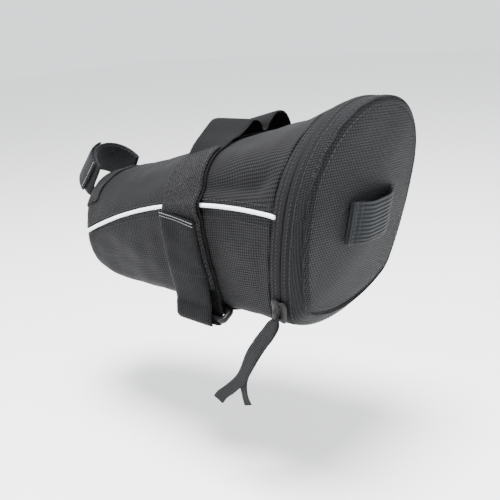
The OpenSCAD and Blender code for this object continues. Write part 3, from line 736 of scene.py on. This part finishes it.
def side_worn(off, x, start, stop, count=26, side=1):
    return [worn(u, x, off, side) for u in np.linspace(start, stop, count)]


def webbing(name, stations, thick, material, steps=3):
    p = catmull(np.stack([s[0] for s in stations]), steps)
    n = unit(catmull(np.stack([s[1] for s in stations]), steps))
    return band_solid(name, p, n, thick, material), p, n


LEFT_ARCH = [(-15, 84.4, 32, 0.15), (-8, 87.7, 34, 0.03), (-2, 91.2, 26, 0), (1.2, 92.7, 4, 0), (4.2,
             92.2, -22, 0), (6.6, 89.6, -55, 0.05)]
RIGHT_ARCH = [(14.5, 87.6, 25, 0.2), (19, 90.0, 14, 0.24), (24, 90.8, -4, 0.26), (28.5, 88.8, -36,
              0.22), (32, 83.2, -62, 0.14)]
SEWN = (0.279, 0.291)
FOOT, SHOULDER, RIGHT_SHOULDER = 0.868, 1.162, 1.0967
right_side = side_worn(0.9, STRAP_X, FOOT, RIGHT_SHOULDER, side=-1)
stations = turn_under(STRAP_X) + side_worn(0.9, STRAP_X, FOOT, SHOULDER)
stations += [aired(*a[:3], STRAP_X, 0.6, rise=a[3]) for a in LEFT_ARCH]
stations += [worn(u, STRAP_X, 2.0) for u in SEWN]
stations += [aired(*a[:3], STRAP_X, 0.6, rise=a[3]) for a in RIGHT_ARCH]
stations += right_side[::-1] + turn_under(STRAP_X, side=-1)[::-1]
strap, strap_p, strap_n = webbing("rail_strap_web", stations, 1.2, WEBBING)
finish_piece(strap, "bag", "webbing", "rail_strap")
patch = [worn(u, STRAP_X + np.array([0.4, -0.4]), 0.8) for u in np.linspace(0.215, 0.315, 12)]
finish_piece(webbing("strap_anchor_web", patch, 1.0, WEBBING, 2)[0], "bag", "webbing", "strap_anchor")
tack = [worn(u, STRAP_X + np.array([2.5, -2.5]), 2.75) for u in (0.281, 0.289)]
finish_piece(stitches("strap_tack", tack, PALE_THREAD, 1.3, 1.1, 0.22, 0.6), "bag", "webbing")

TAPE_X = STRAP_X + np.array([0.8, -0.8])
TAIL_X = STRAP_X + np.array([-2.0, -2.5])


def loop_tape(name, top, side):
    stations = side_worn(2.05, TAPE_X, FOOT + 0.01, top, side=side)
    piece, p, n = webbing(name + "_pile", stations, 0.9, PILE)
    finish_piece(piece, "bag", "loop_tape", name)
    edges = [(p[:, k] + 0.45 * n[:, k], n[:, k]) for k in (1, ACROSS - 2)] + [(p[-2] + 0.45 * n[-2], n[-2])]
    finish_piece(stitches(name + "_stitches", edges, THREAD, 2.4, 1.9, 0.2), "bag", "loop_tape")


loop_tape("loop_tape_left", SHOULDER, 1)
loop_tape("loop_tape_right", RIGHT_SHOULDER - 0.008, -1)


def hook_tail(name, body, side):
    skew = np.tan(TAPER)
    stations = []
    for a in (-50, -66, -80, -92):
        q = np.radians(a)
        r = 3.9
        stations.append(aired(RING[1] + r * np.sin(q), RING[2] - r * np.cos(q), a, TAIL_X, 0.0, skew, side))
    flip = [(p, -n) for p, n in stations]
    for z in (2.5, 5.5, 8.5):
        p, n = aired(RING[1] - 4.0 + 0.12 * z, RING[2] + z, 90, TAIL_X, 0.0, skew, side)
        flip.append((p, n))
    for k in np.linspace(0, 1, 22):
        flip.append(worn(mix(FOOT + 0.03, 0.9865, k), TAIL_X, 3.6, side, 0.009 * k))
    fixed = [flip[0]]
    for p, n in flip[1:]:
        fixed.append((p, n if (n * fixed[-1][1]).sum() > 0 else -n))
    piece, p, n = webbing(name + "_web", fixed, 1.4, WEBBING)
    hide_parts(name)
    out = worn(0.975, TAIL_X, 4.4, side)[1]
    sign = 1 if (n[-1] * out).sum() > 0 else -1
    ends = []
    for u in (0.984, 0.9795):
        line, normal = worn(u, TAIL_X + np.array([1, -1]), 4.3, side, 0.009)
        ends.append((line, normal))
    rows = stitches(name + "_stitches", ends, PALE_THREAD, 1.6, 1.35, 0.24)
    finish_piece(rows, body, "webbing")
    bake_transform(piece)
    return piece


hook_tail("hook_tail_left", "tail_left", 1)
hook_tail("hook_tail_right", "tail_right", -1)


def ring(name, side):
    """A moulded ring: two round bars joined by rounded ends, leaning in under the shell."""
    half, gap, r = 15.9, 6.8, 1.6
    corners = [(-half, 0), (half, 0), (half, gap), (-half, gap)]
    path = []
    for i, (cx, cy) in enumerate(corners):
        a0 = {0: 180, 1: 270, 2: 0, 3: 90}[i]
        ox, oy = cx - np.sign(cx) * r, cy + (r if cy == 0 else -r)
        for a in np.linspace(a0, a0 + 90, 7):
            path.append((ox + r * np.cos(np.radians(a)), oy + r * np.sin(np.radians(a)), 0.0))
    path = np.array(path)
    tilt, yaw = np.radians(30), -TAPER
    x, y, z = path.T
    y, z = y * np.cos(tilt), y * np.sin(tilt)
    x, y = x * np.cos(yaw) - y * np.sin(yaw), x * np.sin(yaw) + y * np.cos(yaw)
    path = (np.stack([x, y, z], -1) + RING) * np.array([1, side, 1])
    finish_piece(tube(name + "_moulded", path, 1.6, PLASTIC, closed=True, sides=16), "bag",
                 "ring_plastic", name)
    tab_x = STRAP_X + np.array([1, -1])
    tab = [worn(u, tab_x, 1.0, side) for u in np.linspace(0.785, 0.825, 10)]
    for a in (50, 10, -30, -75, -120, -160):
        q = np.radians(a)
        p, n = aired(-28.3 + 2.4 * np.sin(q), 6.4 - 2.4 * np.cos(q), a, tab_x, 0.0, np.tan(TAPER), side)
        tab.append((p, -n))
    finish_piece(webbing(name.replace("ring", "ring_tab") + "_web", tab, 1.3, WEBBING, 2)[0], "bag",
                 "webbing",
                 name.replace("ring", "ring_tab"))


ring("ring_left", 1)
ring("ring_right", -1)

# ---------- nose patch and seat post strap

pt, pu = np.linspace(0.865, 0.988, 34), np.linspace(0.08, 0.42, 60)
patch_top = cloth_pt(pt[:, None], pu[None, :], 1.0)
patch_low = cloth_pt(pt[:, None], pu[None, :], 0.15)
finish_piece(solid("nose_patch_cloth", patch_top, patch_low, SHELL), "bag", "shell_cloth", "nose_patch")
front_line = (cloth_pt(np.full(60, 0.872), pu, 1.0), body_n(np.full(60, 0.872), pu))
finish_piece(stitches("nose_patch_stitches", [front_line], THREAD), "bag", "shell_cloth")

POST_AT, POST_LEAN = np.array([-149.6, 0.0, 56.7]), np.radians(41)
PX = np.array([np.cos(POST_LEAN), 0, -np.sin(POST_LEAN)])
PY = np.array([0.0, 1.0, 0.0])
PZ = np.array([np.sin(POST_LEAN), 0, np.cos(POST_LEAN)])


def post_frame(x, y, z):
    x, y, z = np.broadcast_arrays(np.asarray(x, float), y, z)
    return POST_AT + x[..., None] * PX + y[..., None] * PY + z[..., None] * PZ


def post_web(name, path, width, thick, body, nodes, inward, top=None):
    """Strap round the post: a path in the loop's own plane, as wide as the strap."""
    path = np.asarray(path, float)
    tangent = unit(np.gradient(path, axis=0))
    out = np.stack([tangent[:, 1], -tangent[:, 0]], -1) * inward
    high = np.full(len(path), width / 2) if top is None else top
    z = mix(-width / 2, high[:, None], np.linspace(0, 1, ACROSS)[None, :])
    mid = post_frame(path[:, None, 0], path[:, None, 1], z)
    n = out[:, None, 0, None] * PX + out[:, None, 1, None] * PY
    piece = band_solid(name, mid, np.broadcast_to(n, mid.shape), thick, POST_WEB)
    return finish_piece(piece, body, "post_webbing", *nodes), mid, np.broadcast_to(n, mid.shape)


mid_r = 14.65
arc = np.radians(np.linspace(90, 270, 64))
d_path = [(-4.7 + mid_r * np.cos(a), mid_r * np.sin(a)) for a in arc]
foot_path = [(-3.4, -14.3), (-2.7, -13.4), (-2.5, -11.5), (-2.45, -6), (-2.45, 0), (-2.45, 6), (-2.5,
             11.5), (-2.7, 13.4), (-3.4, 14.3)]
whole = np.array(d_path + foot_path + [d_path[0]])
whole = catmull(whole[::1], 2)
rim = mix(11.0, -5.0, smooth(-4.6, -2.7, whole[:, 0]))
loop_piece, post_mid, post_n = post_web("post_strap_web", whole, 22, 2.0, "bag", ["post_strap"], 1, rim)
edges = [(post_mid[:120, k] + s * 1.0 * post_n[:120, k], s * post_n[:120, k]) for k in (1,
         ACROSS - 2) for s in (1, -1)]
finish_piece(stitches("post_strap_stitches", edges, THREAD, 2.4, 1.9, 0.2), "bag", "post_webbing")
flap_arc = np.radians(np.linspace(184, 262, 36))
flap = [(-4.7 + 16.7 * np.cos(a), 16.7 * np.sin(a)) for a in flap_arc]
flap_piece, flap_mid, flap_n = post_web("post_flap_web", flap, 21, 1.3, "post_flap", ["post_strap_flap"], 1)
end = flap_mid[-3] + 0.65 * flap_n[-3] * np.sign((flap_n[-3, 0] @ (flap_mid[-3, 0] - flap_mid[0, 0])) or 1)
finish_piece(stitches("post_flap_stitches", [(end, flap_n[-3])], PALE_THREAD, 1.8, 1.4, 0.2),
             "post_flap", "post_webbing")

# ---------- slider and pull


def slider_frame(p):
    """From the slider's own frame: X across the zip, Z up the side arc, -Y out of the bag."""
    p = np.asarray(p, float) + [0, -SIDE_R, 0]
    a = np.radians(18.4)
    x, y, z = p[..., 0], p[..., 1] * np.cos(a) - p[..., 2] * np.sin(a), p[..., 1] * np.sin(a) + p[...,
            2] * np.cos(a)
    y = y + SIDE_R - REAR_W
    return np.stack([x * np.cos(LEAN) + z * np.sin(LEAN), y,
                    PIPE_REAR - x * np.sin(LEAN) + z * np.cos(LEAN)], -1)


def plate(name, y0, y1, crown):
    """One plate of the slider, with a waisted outline and a domed face."""
    outline = np.array([(-2.6, -6), (0, -6.3), (2.6, -6), (3.6, -2.5), (4, 0.8), (4, 4.6), (3.2, 5.8),
                       (1.2, 6), (0, 5.3),
                        (-1.2, 6), (-3.2, 5.8), (-4, 4.6), (-4, 0.8), (-3.6, -2.5)], float)
    loop = catmull(np.concatenate([outline, outline[:1]]), 4)[:-1]
    rings = []
    for k, y in ((0.02, y0 + crown), (0.5, y0 + crown * 0.9), (0.85, y0 + crown * 0.5), (0.97,
                 y0 + 0.12), (1, y0 - 0.25 * np.sign(crown)),
                 (1, y1), (0.9, y1), (0.02, y1)):
        rings.append(np.stack([loop[:, 0] * k, np.full(len(loop), y), loop[:, 1] * k], -1))
    points = slider_frame(np.stack(rings))
    n, m = points.shape[:2]
    faces = grid_faces(n, m, True) + [list(range(m)), list(range((n - 1) * m, n * m))[::-1]]
    return add_mesh(name, points.reshape(-1, 3), faces, np.zeros((n * m, 2)), METAL)


finish_piece(plate("slider_top_plate", -1.75, -0.95, -0.55), "slider", "slider_metal", "zip_slider")
finish_piece(plate("slider_bottom_plate", 3.0, 2.2, 0.35), "slider", "slider_metal")
bridge = slider_frame(np.stack([np.zeros(6), np.linspace(-1.2, 2.6, 6), np.full(6, 3.3)], -1))
finish_piece(tube("slider_bridge", bridge, 0.75, METAL, sides=12), "slider", "slider_metal")
bail_a = np.linspace(0, np.pi, 22)
bail = np.stack([np.zeros(22), -1.5 - 3.5 * np.sin(bail_a) ** 0.6, 0.3 - 3.5 * np.cos(bail_a)], -1)
finish_piece(tube("slider_bail", slider_frame(bail), 0.75, METAL, sides=12, up=(1, 0, 0), flat=1.3),
             "slider", "slider_metal")


def lace(name, path, widths, twists, thick=1.1):
    """A flat knitted lace with soft edges along a path, turned about it by the twists in degrees."""
    path = catmull(np.asarray(path, float), 8)
    count = len(path)
    share = np.linspace(0, 1, count)
    widths = np.interp(share, np.linspace(0, 1, len(widths)), widths)
    twists = np.radians(np.interp(share, np.linspace(0, 1, len(twists)), twists))
    tangent = unit(np.gradient(path, axis=0))
    normal = unit(np.array([0, -1.0, 0]) - tangent * (tangent @ np.array([0, -1.0, 0]))[:, None])
    side = np.cross(tangent, normal)
    s_dir = np.cos(twists)[:, None] * side + np.sin(twists)[:, None] * normal
    n_dir = np.cross(s_dir, tangent)
    s = np.linspace(-1, 1, 9)
    mid = path[:, None] + s[None, :, None] * (widths / 2)[:, None, None] * s_dir[:, None]
    mid = mid + (0.25 * s[None, :] ** 2)[..., None] * n_dir[:, None]
    return band_solid(name, mid, np.broadcast_to(n_dir[:, None], mid.shape), thick, LACE)


bail_at = slider_frame(np.array([0.0, -3.4, 0.0]))
main = [(-10.8, 12.0), (-14, 7.2), (-19.2, 0.7), (-24.0, -6.0)]
front = [tuple(bail_at), (-9.6, -43.9, 14.6)] + [(x, -44.75, z) for x, z in main]
front += [(-27.2, -44.8, -12.0), (-31.5, -44.9, -19.6), (-38.2, -44.9, -26.2), (-43.8, -44.8, -30.8),
          (-46.8, -44.7, -34.4)]
rear = [tuple(bail_at), (-10.2, -42.9, 14.4)] + [(x + 0.5, -43.5, z - 0.3) for x, z in main]
rear += [(-27.6, -43.4, -12.8), (-30.6, -43.3, -18.8), (-31.6, -43.2, -24.6), (-31.0, -43.2, -29.8),
         (-29.6, -43.3, -33.6)]
finish_piece(lace("pull_lace_front", front, [2.4, 2.6, 5.4, 6.3, 6.3, 6.2, 5.6, 5.6, 5.8, 5.9],
             [0, 0, 0, 4, 0, -6, 8, 18, 10]), "pull",
             "pull_lace", "zip_pull")
finish_piece(lace("pull_lace_rear", rear, [2.4, 2.6, 5.2, 6.1, 6.1, 6.0, 5.2, 5.2, 5.3, 5.4],
             [0, 0, 0, -3, 0, 5, -10, -20, -8]), "pull",
             "pull_lace")

# ---------- floor, light and camera

FLOOR_HALF, FLOOR_Z = 3.0, -0.172  # metres, low enough for the open lid to clear it
floor = bpy.data.meshes.new("floor")
corners = [(-1, -1), (1, -1), (1, 1), (-1, 1)]
floor.from_pydata([(x * FLOOR_HALF, y * FLOOR_HALF, FLOOR_Z) for x, y in corners], [], [[0, 1, 2, 3]])
pale = hard("pale_floor", (0.93, 0.93, 0.93), rough=0.9, scratch=0.01)
floor.materials.append(pale)
ground = bpy.data.objects.new("floor", floor)
bpy.context.scene.collection.objects.link(ground)

world = bpy.context.scene.world or bpy.data.worlds.new("studio")
bpy.context.scene.world = world
world.use_nodes = True
world.node_tree.nodes["Background"].inputs[0].default_value = (0.95, 0.97, 1.0, 1)
world.node_tree.nodes["Background"].inputs[1].default_value = 1.6


def area_light(name, place, target, size, power):
    data = bpy.data.lights.new(name, "AREA")
    data.shape = "DISK"
    data.size = size
    data.energy = power
    lamp = bpy.data.objects.new(name, data)
    place, target = np.array(place, float), np.array(target, float)
    z = unit(place - target)
    x = unit(np.cross([0.0, 1.0, 0.0] if abs(z[2]) > 0.95 else [0.0, 0.0, 1.0], z))
    y = np.cross(z, x)
    lamp.matrix_world = Matrix([[x[i], y[i], z[i], place[i]] for i in range(3)] + [[0, 0, 0, 1]])
    bpy.context.scene.collection.objects.link(lamp)


area_light("top_light", (0.1, -0.15, 0.75), (0, 0, -0.03), 0.35, 30.0)
area_light("left_light", (-0.45, -0.6, 0.25), (-0.03, 0, -0.04), 0.5, 4.0)
area_light("right_light", (0.75, -0.05, 0.25), (0.03, 0, -0.04), 0.5, 3.0)

camera = bpy.data.objects.new("camera", bpy.data.cameras.new("camera"))
camera.data.sensor_width = 36
camera.data.lens = 54.84
YAW, PITCH, ROLL = np.radians([38.895, 17.27, 4.274])
place = (0.23946, -0.29012, 0.05297)
toward = np.array([np.cos(PITCH) * np.sin(YAW), -np.cos(PITCH) * np.cos(YAW), np.sin(PITCH)])
level = np.array([np.cos(YAW), np.sin(YAW), 0.0])
above = np.cross(toward, level)
right = np.cos(ROLL) * level - np.sin(ROLL) * above
up = np.cos(ROLL) * above + np.sin(ROLL) * level
camera.matrix_world = Matrix([[right[i], up[i], toward[i], place[i]] for i in range(3)] + [[0, 0, 0, 1]])
bpy.context.scene.collection.objects.link(camera)
bpy.context.scene.camera = camera
